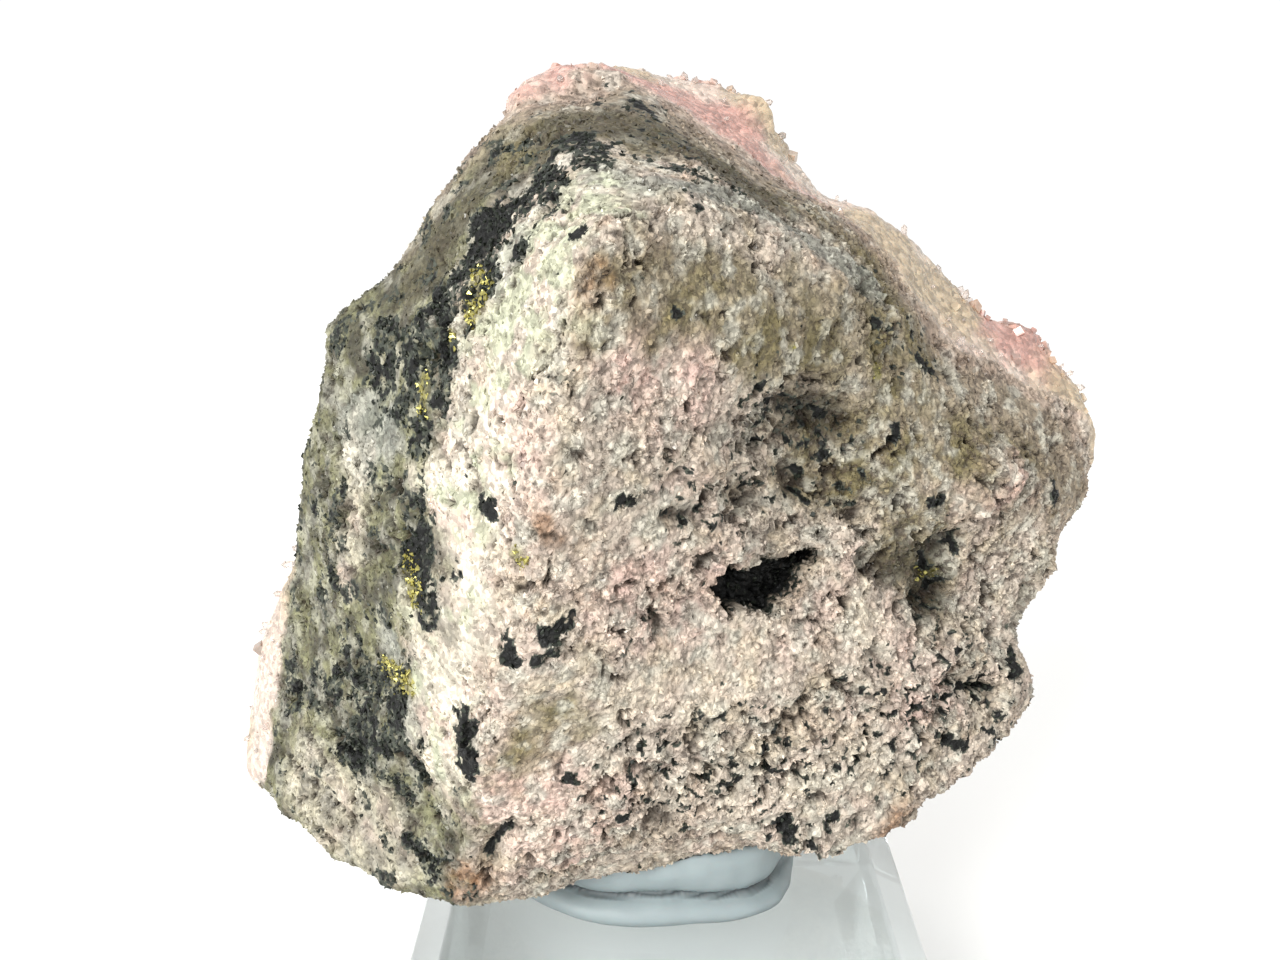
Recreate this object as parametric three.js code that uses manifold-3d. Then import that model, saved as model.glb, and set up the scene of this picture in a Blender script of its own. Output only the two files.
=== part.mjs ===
// A hand specimen of rhodochrosite, shown as a collector shows it: the rough stone stands upright on a
// pressed pad of mineral tack, and the tack sits on a clear acrylic block.
//
// Millimetres, +Z up. The origin is the centre of the block's underside. +Y runs away from the side
// that faces the viewer, so the stone's sharp ridge points to -Y and its crystal crust faces +Y.
import * as THREE from "three";
import { ConvexGeometry } from "three/addons/geometries/ConvexGeometry.js";
import { ImprovedNoise } from "three/addons/math/ImprovedNoise.js";
import { mergeVertices } from "three/addons/utils/BufferGeometryUtils.js";
import Module from "manifold-3d";

// Driving dimensions.
const BLOCK_SIDE = 38;
const BLOCK_HEIGHT = 16;
const BLOCK_BEVEL = 3;
const BLOCK_EDGE_BREAK = 0.4;

const PAD_WIDTH = 24;
const PAD_DEPTH = 18;
const PAD_HEIGHT = 6.5;
const PAD_FOOT_ROUND = 1.4;
const PAD_SHOULDER_ROUND = 2.2;
const PAD_ROUND_STEPS = 5;
const PAD_SIDES = 40;
const PAD_CENTRE = [-0.7, 0.5];

const STONE_CENTRE = [2, 0, 46.5];
const STONE_DETAIL = 18;
const STONE_EDGE_SOFTENING = 1;
const STONE_EDGE_YIELD = 0.4;
const FIT_GAP = 0.3;

// The stone's corners, in millimetres from STONE_CENTRE. Each list follows one edge or one face.
// A straight line from the centre meets the surface once, so the corners alone say how they join.
const STONE_CORNERS = {
  // The crust's upper edge, from the top left corner down to the right shoulder.
  crustRim: [
    [-11.5, 5, 28.5], [-7.5, 8, 29.8], [-3, 9.5, 29.5], [3.5, 11, 28], [6.8, 11, 25.5],
    [7.2, 10.5, 22.3], [9.3, 9.5, 20.3], [13, 9.5, 20], [16.3, 9.5, 17.6], [21, 10.5, 13],
    [22, 10.5, 11.3], [26.5, 11, 10.5], [30, 11, 7], [32.5, 9.5, 3],
  ],
  // The broken right side, with the notch below the shoulder.
  rightSide: [
    [33, 8, -1.5], [31, 6.5, -4], [28.5, 5.5, -6], [28, 4.5, -8], [24.8, 3, -10], [24.8, 2.5, -12.5],
    [26.6, 2, -16.5], [25.5, 0.5, -19.2], [20.8, -2, -22], [15.8, -4.5, -25], [11, -6, -25.2],
  ],
  // The front lower edge, from right to left.
  lowerEdge: [
    [7.5, -7.5, -24.2], [-0.5, -8.5, -25], [-7, -9.5, -26], [-11, -11, -26.3], [-16.5, -14, -26],
    [-22.5, -10, -26.3], [-28.5, -5, -26.3], [-32.3, -1, -25.8],
  ],
  // The left side, up from the bulge where the crust wraps round it.
  leftSide: [
    [-36, 4, -27], [-37.5, 7, -24], [-36.3, 7.5, -19.5], [-34.7, 6.5, -14], [-31, 4.5, -8],
    [-30, 3, -3], [-28.6, 2.5, 3], [-26, 1.5, 12], [-24.3, 1, 13.8], [-21.5, 0.5, 16], [-18, 0, 20],
    [-14.8, 1, 24], [-12.6, 3, 27.3],
  ],
  // The sharp ridge between the left face and the main face, from its apex down.
  ridge: [
    [-5.5, -20, 22.5], [-7.5, -21, 18.5], [-8.5, -21, 14], [-8.5, -20.5, 8.5], [-9.5, -20, 2.5],
    [-11.5, -19, -3.5], [-14.5, -16.5, -13.5],
  ],
  // The edge between the main face and the slope that falls back to the crust.
  upperEdge: [
    [-1.5, -16, 22], [3, -11.5, 20.5], [8, -7.5, 17.5], [13, -3.5, 13.5], [16.5, -0.5, 8.5],
    [22, 2.5, 4], [27.5, 5, -0.5],
  ],
  backSlope: [
    [-8.5, -7, 25.5], [-4, -1, 26.5], [0, -4, 24], [4.5, 1.5, 22.5], [10.5, 1.5, 18.5], [17, 4.5, 13],
    [23, 6.5, 7.5],
  ],
  mainFace: [
    [-2, -17.5, 18], [3, -13.5, 16], [0.5, -14.5, 10], [-0.5, -14.5, 4], [-5.5, -17.5, -1], [7, -9, 9.5],
    [6.5, -6.5, 4], [11.5, -6, 9], [4, -10.5, -2.5], [10.5, -7.5, -1], [16.5, -1.5, -7], [13, -5.5, 3],
    [21.5, -0.5, 1], [20, -1.5, -10.5], [11.5, -8.5, -11], [18.5, -3.5, -14.5], [3.5, -12, -10],
    [-4, -15, -11.5], [-10, -15.5, -17.5], [0, -11.5, -19], [10.5, -8, -19],
  ],
  leftFace: [
    [-20, -6.5, 13], [-21.5, -6.5, 5], [-23.5, -5.5, -3.5], [-25, -4.5, -13], [-24.5, -6.5, -20],
    [-16, -10.5, 16], [-13.5, -8, 20.5], [-16, -13.5, 5], [-18, -13, -6], [-19.5, -11.5, -17],
    [-9.5, -17, 20],
  ],
  underside: [
    [-18, 2, -27.5], [-8, -4, -27], [4, -2, -26.3], [-4, 7, -27.5], [11, 3, -26], [-17, 11, -26.5],
    [12, 9, -24], [-29, 9, -27],
  ],
  crustFace: [
    [0, 16, 24], [-9, 13.5, 20], [12, 16.5, 13], [-18, 12.5, 8], [-4, 17.5, 7], [12, 18, 1], [24, 15.5, 2],
    [-27, 12, -5], [-14, 16, -6], [2, 18, -9], [16, 16, -10], [-31, 13, -19], [-16, 15.5, -18],
    [0, 15.5, -20], [13, 12.5, -18], [22, 9, -16],
  ],
};

const wasm = await Module();
wasm.setup();

// A closed three.js geometry as a manifold-3d solid.
function solidOf(geometry) {
  const bare = geometry.index ? geometry.toNonIndexed() : geometry.clone();
  bare.deleteAttribute("normal");
  bare.deleteAttribute("uv");
  const merged = mergeVertices(bare, 1e-4);
  return new wasm.Manifold(
    new wasm.Mesh({
      numProp: 3,
      vertProperties: merged.attributes.position.array,
      triVerts: new Uint32Array(merged.index.array),
    }),
  );
}

// A manifold-3d solid as a flat-shaded three.js geometry.
function geometryOf(solid) {
  const mesh = solid.getMesh();
  const geometry = new THREE.BufferGeometry();
  geometry.setAttribute("position", new THREE.BufferAttribute(mesh.vertProperties, mesh.numProp));
  geometry.setIndex(new THREE.BufferAttribute(mesh.triVerts, 1));
  const faceted = geometry.toNonIndexed();
  faceted.computeVertexNormals();
  return faceted;
}

// The stone's broad facets: the corners joined as their directions join on a sphere round the centre.
// Returns a function from a unit direction to the facets' distance from the centre.
function facetDistance() {
  const corners = Object.values(STONE_CORNERS)
    .flat()
    .map((corner) => new THREE.Vector3(...corner));
  const directions = corners.map((corner) => corner.clone().normalize());
  const hull = new ConvexGeometry(directions).attributes.position;
  const cornerAt = (i) => {
    const direction = new THREE.Vector3().fromBufferAttribute(hull, i);
    return corners[directions.findIndex((known) => known.distanceToSquared(direction) < 1e-10)];
  };
  // Each facet turns a direction into shares of its three corners: none is negative inside the facet.
  const facets = [];
  for (let i = 0; i < hull.count; i += 3) {
    const [a, b, c] = [cornerAt(i), cornerAt(i + 1), cornerAt(i + 2)];
    facets.push(new THREE.Matrix3(a.x, b.x, c.x, a.y, b.y, c.y, a.z, b.z, c.z).invert());
  }
  return (direction) => {
    const shares = facets.map((facet) => direction.clone().applyMatrix3(facet));
    const least = shares.map((share) => Math.min(share.x, share.y, share.z));
    const inside = shares[least.indexOf(Math.max(...least))];
    return 1 / (inside.x + inside.y + inside.z);
  };
}

// The numbers of each vertex's neighbours, from an indexed geometry.
function neighboursOf(geometry) {
  const neighbours = Array.from({ length: geometry.attributes.position.count }, () => new Set());
  const index = geometry.index.array;
  for (let i = 0; i < index.length; i += 3) {
    for (let side = 0; side < 3; side += 1) {
      const from = index[i + side];
      const to = index[i + ((side + 1) % 3)];
      neighbours[from].add(to);
      neighbours[to].add(from);
    }
  }
  return neighbours.map((set) => [...set]);
}

// Broken rock's relief: millimetres to add at a point, in waves from 9 mm down to 3 mm across.
function fractureRelief(point) {
  const noise = new ImprovedNoise();
  const waves = [
    { across: 9, high: 0.5 },
    { across: 5, high: 0.35 },
    { across: 3, high: 0.2 },
  ];
  return waves.reduce(
    (sum, { across, high }) =>
      sum + high * noise.noise(point.x / across, point.y / across, point.z / across),
    0,
  );
}

// The stone about its own centre, grown by `grow` millimetres on every side.
function stoneGeometry(grow = 0) {
  const ball = new THREE.IcosahedronGeometry(1, STONE_DETAIL);
  ball.deleteAttribute("normal");
  ball.deleteAttribute("uv");
  const stone = mergeVertices(ball, 1e-5);
  const position = stone.attributes.position;
  const count = position.count;
  const directions = Array.from({ length: count }, (_, i) =>
    new THREE.Vector3().fromBufferAttribute(position, i).normalize(),
  );
  let distances = directions.map(facetDistance());
  const neighbours = neighboursOf(stone);
  for (let pass = 0; pass < STONE_EDGE_SOFTENING; pass += 1) {
    distances = distances.map((distance, i) => {
      const around = neighbours[i].reduce((sum, n) => sum + distances[n], 0) / neighbours[i].length;
      return (1 - STONE_EDGE_YIELD) * distance + STONE_EDGE_YIELD * around;
    });
  }
  directions.forEach((direction, i) => {
    const point = direction.clone().multiplyScalar(distances[i]);
    point.setLength(distances[i] + fractureRelief(point) + grow);
    position.setXYZ(i, point.x, point.y, point.z);
  });
  return stone;
}

function makeStone() {
  const material = new THREE.MeshStandardMaterial({ color: 0xc9b6ae, roughness: 0.85, metalness: 0 });
  const geometry = stoneGeometry().toNonIndexed();
  geometry.computeVertexNormals();
  const mesh = new THREE.Mesh(geometry, material);
  mesh.name = "stone";
  mesh.position.set(...STONE_CENTRE);
  return mesh;
}

// The tack, rolled into a ball and flattened: round at the rim, a little narrower at its foot, and
// hollowed on top where the stone is pressed into it.
function makePad() {
  const half = PAD_WIDTH / 2;
  const belly = PAD_HEIGHT * 0.4;
  const profile = new THREE.Path();
  profile.moveTo(0, 0);
  profile.lineTo(half - PAD_FOOT_ROUND, 0);
  profile.quadraticCurveTo(half, 0, half, belly);
  profile.quadraticCurveTo(half, PAD_HEIGHT, half - PAD_SHOULDER_ROUND, PAD_HEIGHT);
  profile.lineTo(0, PAD_HEIGHT);
  const disc = new THREE.LatheGeometry(profile.getPoints(PAD_ROUND_STEPS), PAD_SIDES);
  disc.scale(1, 1, PAD_DEPTH / PAD_WIDTH);
  disc.rotateX(Math.PI / 2);
  disc.translate(PAD_CENTRE[0], PAD_CENTRE[1], BLOCK_HEIGHT);
  const pressing = stoneGeometry(FIT_GAP).translate(...STONE_CENTRE);
  const material = new THREE.MeshStandardMaterial({ color: 0x98a4ac, roughness: 0.6, metalness: 0 });
  const mesh = new THREE.Mesh(geometryOf(solidOf(disc).subtract(solidOf(pressing))), material);
  mesh.name = "tack_pad";
  return mesh;
}

// A square frustum standing on z = 0, `low` wide at its foot and `high` wide at its top.
function frustum(low, high, height) {
  const toCorner = Math.SQRT1_2;
  const geometry = new THREE.CylinderGeometry(high * toCorner, low * toCorner, height, 4);
  geometry.rotateX(Math.PI / 2);
  geometry.rotateZ(Math.PI / 4);
  geometry.translate(0, 0, height / 2);
  return geometry;
}

// The clear block: a square slab with a wide polished bevel round its top and broken bottom edges.
function makeBlock() {
  const inset = 2 * BLOCK_EDGE_BREAK;
  const layers = [
    [BLOCK_SIDE - inset, BLOCK_SIDE, BLOCK_EDGE_BREAK],
    [BLOCK_SIDE, BLOCK_SIDE, BLOCK_HEIGHT - BLOCK_BEVEL - BLOCK_EDGE_BREAK],
    [BLOCK_SIDE, BLOCK_SIDE - 2 * BLOCK_BEVEL, BLOCK_BEVEL],
  ];
  let z = 0;
  let solid = null;
  for (const [low, high, height] of layers) {
    const layer = solidOf(frustum(low, high, height).translate(0, 0, z));
    solid = solid ? solid.add(layer) : layer;
    z += height;
  }
  const material = new THREE.MeshStandardMaterial({
    color: 0xdcebe6,
    roughness: 0.05,
    metalness: 0,
    transparent: true,
    opacity: 0.35,
  });
  const mesh = new THREE.Mesh(geometryOf(solid), material);
  mesh.name = "acrylic_block";
  return mesh;
}

const specimen = new THREE.Group();
specimen.add(makeBlock(), makePad(), makeStone());

export default specimen;
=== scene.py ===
# A rhodochrosite specimen on its display block: a clear acrylic block, a pressed pad of mineral tack,
# and a wedge of rough rock with a crust of small crystals on its far side.
# The pieces are made in the order that a collector puts them together. Lengths are metres, and MM
# turns the sizes that are given in millimetres.
import math
import random

import bmesh
import bpy
import numpy as np
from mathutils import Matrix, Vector, noise
from mathutils.bvhtree import BVHTree


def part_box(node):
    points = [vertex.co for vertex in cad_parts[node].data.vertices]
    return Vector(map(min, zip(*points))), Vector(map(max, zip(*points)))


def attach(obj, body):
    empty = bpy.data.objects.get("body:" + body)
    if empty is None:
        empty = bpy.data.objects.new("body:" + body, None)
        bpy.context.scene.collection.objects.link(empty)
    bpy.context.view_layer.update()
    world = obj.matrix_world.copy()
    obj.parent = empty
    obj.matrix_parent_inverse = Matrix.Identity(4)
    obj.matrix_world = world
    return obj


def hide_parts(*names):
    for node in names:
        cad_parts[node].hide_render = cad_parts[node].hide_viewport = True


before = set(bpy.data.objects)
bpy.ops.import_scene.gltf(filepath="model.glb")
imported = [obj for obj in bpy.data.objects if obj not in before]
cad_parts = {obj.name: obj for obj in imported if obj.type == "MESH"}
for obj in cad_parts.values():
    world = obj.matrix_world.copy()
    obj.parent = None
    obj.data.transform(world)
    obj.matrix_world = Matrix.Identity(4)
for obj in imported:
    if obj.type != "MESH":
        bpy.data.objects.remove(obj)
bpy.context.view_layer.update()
MM = 0.001


# ---------------------------------------------------------------------------------------------------
# Acrylic block. A square slab of cast clear acrylic, sawn, flame-polished and bevelled round its top.
# It is cut from the block's box: a plinth, a 45 degree bevel and a top, with every edge just broken.
# ---------------------------------------------------------------------------------------------------
BLOCK_BEVEL = 3 * MM
BLOCK_EDGE_BREAK = 0.3 * MM
ACRYLIC_IOR = 1.49
ACRYLIC_TINT = "#C4FDFC"
ACRYLIC_DENSITY = 4.0


def linear(hex_colour):
    """A colour given as sRGB hex, as the linear RGBA that a shader wants."""
    parts = [int(hex_colour[i : i + 2], 16) / 255 for i in (1, 3, 5)]
    curve = [p / 12.92 if p <= 0.04045 else ((p + 0.055) / 1.055) ** 2.4 for p in parts]
    return (*curve, 1.0)


def add(tree, kind, inputs=None, **settings):
    """Adds a node with its own settings, and fills or links its inputs."""
    made = tree.nodes.new(kind)
    for key, value in settings.items():
        setattr(made, key, value)
    for key, value in (inputs or {}).items():
        if isinstance(value, bpy.types.NodeSocket):
            tree.links.new(value, made.inputs[key])
        else:
            made.inputs[key].default_value = value
    return made


def new_material(name):
    """An empty material, its node tree and its output node."""
    material = bpy.data.materials.new(name)
    material.use_nodes = True
    material.node_tree.nodes.clear()
    output = material.node_tree.nodes.new("ShaderNodeOutputMaterial")
    return material, material.node_tree, output


def finish_material(tree, output, sockets):
    """Gives a material its surface shader, with these sockets filled or linked."""
    surface = add(tree, "ShaderNodeBsdfPrincipled", sockets)
    tree.links.new(surface.outputs[0], output.inputs["Surface"])
    return surface


def new_piece(name, mesh, material, node_name):
    """Links a finished mesh as a piece that rides on the root body in place of a CAD node."""
    piece = bpy.data.objects.new(name, mesh)
    bpy.context.collection.objects.link(piece)
    mesh.materials.clear()
    mesh.materials.append(material)
    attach(piece, "root")
    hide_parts(node_name)
    return piece


acrylic, tree, output = new_material("acrylic_polished")
clear = {
    "Base Color": (1, 1, 1, 1),
    "Roughness": 0.02,
    "IOR": ACRYLIC_IOR,
    "Transmission Weight": 1.0,
}
finish_material(tree, output, clear)
depth_tint = add(
    tree,
    "ShaderNodeVolumeAbsorption",
    {"Color": linear(ACRYLIC_TINT), "Density": ACRYLIC_DENSITY},
)
tree.links.new(depth_tint.outputs[0], output.inputs["Volume"])

block_low, block_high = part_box("acrylic_block")
levels = [
    (block_low.z, 0.0),
    (block_high.z - BLOCK_BEVEL, 0.0),
    (block_high.z, BLOCK_BEVEL),
]
shape = bmesh.new()
rings = []
for z, inset in levels:
    x0, x1 = block_low.x + inset, block_high.x - inset
    y0, y1 = block_low.y + inset, block_high.y - inset
    rings.append([shape.verts.new((x, y, z)) for x, y in ((x0, y0), (x1, y0), (x1, y1), (x0, y1))])
shape.faces.new(reversed(rings[0]))
shape.faces.new(rings[-1])
for lower, upper in zip(rings, rings[1:]):
    for i in range(4):
        j = (i + 1) % 4
        shape.faces.new((lower[i], lower[j], upper[j], upper[i]))
bmesh.ops.bevel(
    shape,
    geom=shape.edges[:],
    offset=BLOCK_EDGE_BREAK,
    segments=3,
    profile=0.5,
    affect="EDGES",
)
block_mesh = bpy.data.meshes.new("acrylic_block")
shape.to_mesh(block_mesh)
shape.free()
new_piece("display_block", block_mesh, acrylic, "acrylic_block")


# ---------------------------------------------------------------------------------------------------
# Stone. A wedge of broken ore: granular rhodochrosite and quartz, dark sulfide bands and a crust.
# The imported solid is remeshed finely, its faces are roughened like fracture, and each mineral's share
# of each place is written on the mesh as attributes, which the grains and the materials below read.
# ---------------------------------------------------------------------------------------------------
STONE_EDGE = 0.385 * MM
STONE_SKIN = 0.3
STONE_SMOOTHING_PASSES = 8
CAVITY_PASSES = 12
LEFT_FLANK_EDGE = -7
UPPER_FACE_FOOT = 46

# Each mineral zone follows a short route of points on the stone, in millimetres, with a reach.
SULFIDE_VEINS = [
    ([(-6.5, -9, 71), (-8.2, -11.3, 68.7), (-9.3, -12.5, 67), (-11.3, -11.5, 65), (-13, -11, 63)], 2.9),
    ([(-7.5, -8.5, 70.5), (-4.5, -11.5, 70)], 1.0),
    ([(-2.5, -9, 70.5), (1.5, -9.5, 69.5), (3.5, -8, 68.5)], 0.9),
    ([(-15, -9.5, 62), (-15, -9.5, 60), (-18.5, -6, 58)], 2.1),
    ([(-18.5, -6.5, 56), (-14, -12, 58.5), (-16, -10.5, 55.5), (-16.5, -10, 53.5)], 2.1),
    ([(-16.5, -11, 47.5), (-15.3, -13, 46.5), (-15.5, -13.5, 44)], 2.3),
    ([(-22.5, -5.5, 34), (-18, -10, 35.5), (-18.5, -10.5, 32), (-22, -6, 30.5)], 2.5),
    ([(-18, -11, 29.5), (-17, -12, 28.5)], 1.3),
    ([(-17.3, -11.5, 25.5), (-16.7, -12.3, 24.3)], 1.2),
    ([(-22.5, -3.5, 48), (-23.5, -2.5, 41)], 1.0),
]
SULFIDE_DUSTINGS = [
    ([(19, -2, 42.5), (18.5, -2, 39)], 2.4),
    ([(14, -4, 60), (18, -1, 57)], 2.4),
    ([(20, -3, 32), (24.5, -1, 30)], 3.0),
    ([(-2, 0, 73.5), (1, -6, 71)], 2.4),
    ([(6, -11, 30), (10, -8, 24)], 3.0),
    ([(5, -10, 55), (10, -7, 51)], 3.0),
    ([(0, -15, 51), (4, -12, 49)], 2.2),
    ([(0, -13, 30.5), (10, -9, 31), (22, -3, 32.5)], 5.0),
]
SULFIDE_SPOTS = [
    ([(-5.5, -19, 67)], 0.7),
    ([(-11, -16.5, 50.5)], 0.8),
    ([(-10, -18.5, 42.8), (-9.8, -18.5, 42)], 0.9),
    ([(-7.5, -18.5, 43.5), (-6, -18, 44.5)], 0.5),
    ([(-8, -18.5, 42), (-6.8, -18.5, 42.4)], 0.45),
    ([(-13, -16, 37), (-13, -16.5, 34)], 1.0),
    ([(-3, -17.5, 51.5), (-2.5, -17, 51)], 0.5),
    ([(17.5, -4.5, 47.5), (18.5, -3.5, 47)], 0.45),
    ([(28, 3, 46), (28.5, 3.5, 45)], 0.6),
    ([(15, -5, 52.5), (15, -5.5, 52)], 0.5),
    ([(26, 1, 33.5), (26, 0.5, 32)], 0.7),
    ([(21, -3, 32.5), (24.5, -1, 31.5)], 0.4),
    ([(20.5, -3.5, 28.5), (22, -2.5, 27.5)], 0.5),
    ([(7.5, -9, 25), (9, -8.5, 24)], 0.8),
    ([(11.5, -7.5, 25)], 0.45),
    ([(7, -10.5, 30), (8, -10, 29.5)], 0.4),
    ([(-6.5, -15.5, 32.5)], 0.5),
    ([(-2.5, -14.5, 31)], 0.45),
    ([(17, -2, 57), (18, -1, 56)], 0.6),
    ([(13.5, -5, 59.5)], 0.5),
    ([(8, -10.5, 60)], 0.4),
    ([(1.5, -15, 68)], 0.4),
    ([(5.5, -12, 57.5), (4.5, -13, 56)], 0.4),
    ([(0.5, -17, 62)], 0.5),
    ([(-10.5, -15.5, 28.5), (-12, -15, 26.5)], 0.4),
    ([(-2, 0, 73.5), (-1.5, -0.5, 73)], 0.7),
    ([(-10.2, -10.5, 67.3), (-11.7, -10.3, 65.6)], 1.7),
    ([(-16.6, -11.2, 47.2), (-16, -12.4, 45)], 1.0),
    ([(-8.8, -10.5, 68.8)], 1.2),
]
BLACK_VUG = [
    ([(4.3, -12, 43.8), (5.8, -10.9, 43.4)], 1.7),
    ([(6.6, -10.1, 43.6), (7.6, -9.6, 44)], 1.4),
    ([(8.2, -9.1, 44.6), (9.3, -8.5, 44.9)], 0.6),
]
PYRITE_CLUSTERS = [
    ([(-12.2, -12.6, 63.2), (-11.9, -13, 61.9)], 1.15),
    ([(-13.5, -12, 60)], 0.5),
    ([(-16, -10, 56.8), (-15.8, -10.5, 55.5)], 0.7),
    ([(-16.6, -11.5, 45.5), (-16, -12.5, 43.5)], 0.75),
    ([(-19, -8.5, 36.6), (-17.2, -11.5, 37.3)], 0.95),
    ([(-9.5, -18.5, 48.6)], 0.7),
    ([(13.5, -5.5, 56.5)], 0.5),
    ([(7.5, -11, 59)], 0.4),
    ([(19.5, -1.5, 40.5)], 0.6),
]
CREAM_SEAM = [
    (
        [
            (-6, -15.5, 67.5), (-8, -17.5, 64), (-10, -16.5, 61), (-11, -16, 58), (-12, -15.5, 53),
            (-13.5, -14.5, 50), (-14, -14.5, 45), (-14.5, -14.5, 41), (-15.5, -13.5, 37), (-15, -13, 34),
        ],
        3.6,
    ),
]
CREAM_PATCHES = [
    ([(2, -12, 29), (9, -9.5, 28), (14, -7.5, 29.5)], 3.0),
    ([(-23, -4, 43), (-22.5, -4.5, 41.5)], 1.3),
    ([(-21.5, -4.5, 46)], 1.3),
    ([(-26, -4, 25), (-20.5, -9.5, 24.5)], 3.8),
    ([(-21.5, -5, 50.5), (-22, -5, 44.5)], 2.0),
    ([(-15.5, -11.5, 51), (-14.5, -13, 50.5)], 1.3),
    ([(14, -7.5, 39.5), (17, -6, 36)], 2.6),
    ([(-18.5, -6, 57), (-17.5, -7, 58)], 1.1),
    ([(-4, -16, 36), (2, -13.5, 36.5)], 2.4),
]
GREY_QUARTZ = [
    (
        [
            (-4.5, -13, 69.5), (-2, -14.5, 69), (1.5, -12, 69.2), (5, -8.5, 67.2), (9.5, -6, 65),
            (13.5, -3.5, 62),
        ],
        1.3,
    ),
    ([(-11, -14.5, 64.5), (-9.5, -15, 66.5)], 1.6),
    ([(-20.5, -4.5, 54), (-22, -3, 52)], 1.6),
    ([(-13, -14.5, 55), (-13.5, -14.5, 51)], 1.3),
    ([(-20.5, -4.5, 51.5), (-18.5, -7, 53)], 2.2),
    ([(-18.5, -9, 39), (-17.5, -11, 34)], 1.3),
]
OLIVE_SKARN = [
    ([(7.5, -11, 60), (11, -7, 59), (15, -4, 60), (20, 0, 57)], 3.6),
    ([(-9, -4.5, 71.5), (-3.5, -5, 72), (4, -4, 70)], 3.0),
    ([(4, -4, 70), (12, 0, 64.5), (17, 1, 59.5), (22, 3, 55.5)], 2.6),
    ([(-10.5, -14.5, 34), (-7, -16, 37)], 2.4),
    ([(17.5, -3.5, 43.5), (18.5, -2.5, 40)], 2.6),
    ([(-3, -19, 63), (3, -16, 63), (6, -13, 60)], 3.0),
    ([(25, 2, 51), (29, 5, 46)], 3.0),
    ([(11, -6.5, 51.5), (15, -5, 52.5), (20, -1.5, 51)], 4.2),
    ([(15, -5.5, 48.5), (17.5, -4.5, 46)], 2.6),
    ([(15.5, -5, 45), (18, -3, 42.5), (19.5, -2, 40.5)], 2.6),
]
DARK_SKARN = [
    ([(-7, -5, 71.8), (-2, -4, 72), (3, -5, 70.8), (6, -4, 69)], 3.0),
    ([(-2, -0.5, 73.4)], 1.2),
    ([(-12, -6, 68.5), (-17, -5, 62)], 2.0),
    ([(8, -9.5, 54.5), (10, -7.5, 53.5)], 1.6),
    ([(16, -5, 43), (18.5, -2.5, 41.5), (19, -2, 39)], 1.8),
]
MAUVE_BAND = [
    ([(-9, 0, 73.2), (-4, 1, 73.8), (2, 1, 72), (7, 1, 68.8), (12, 2.5, 65)], 2.6),
    ([(19, 3.5, 58.5), (24, 4, 53), (29, 6, 48), (32, 7, 43)], 3.2),
]
PINK_PATCHES = [
    ([(23.5, 0, 48), (22.5, -1, 48)], 3.4),
    ([(-2, -16, 44.5), (1.5, -14, 44.5)], 3.4),
    ([(-11, -16, 31.5), (-7, -15.5, 34)], 3.2),
    ([(16, -5.5, 37.5), (18.5, -5, 32.5)], 2.8),
    ([(-2, -17, 60), (1, -16, 57)], 3.0),
    ([(-9, -18, 56), (-8, -18, 53)], 2.4),
    ([(-5, -16, 30), (-7, -15, 26)], 3.0),
]
RUST_STAINS = [
    ([(-4, -20, 64.5), (-4.5, -20, 63.5)], 0.9),
    ([(-4, -19.5, 68)], 0.7),
    ([(-7.5, -19.5, 51), (-7, -19.5, 50)], 0.8),
    ([(-14, -14, 23.5), (-13, -14.5, 24.5)], 1.6),
    ([(16.5, -5.5, 23.5), (15.5, -5, 22)], 1.5),
    ([(22, -3, 28.5)], 1.0),
    ([(1, -13.5, 26)], 0.9),
]
# On the crust: where it is pinkest, and where it is tan.
PINK_CRUST = [
    ([(-9, 3, 74), (-5, 4.5, 75), (-0.5, 5, 74), (3.5, 5.5, 72)], 2.6),
    ([(3.5, 6, 73), (5, 6.5, 72.3)], 2.0),
    ([(5, 4, 70.5), (8.5, 3.5, 68), (11.5, 4, 66.3)], 2.0),
    ([(24, 8.5, 57.3), (26.5, 9.3, 56), (29.5, 9, 54)], 2.6),
]
TAN_CRUST = [
    ([(6.3, 9.5, 73.5), (8, 9, 71)], 2.3),
    ([(14, 4.5, 65.5), (19, 5, 61.5), (22, 7, 59.5)], 3.2),
    ([(31.5, 8.5, 51), (33, 7.5, 46), (31.5, 7, 41)], 4.2),
]
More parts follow.
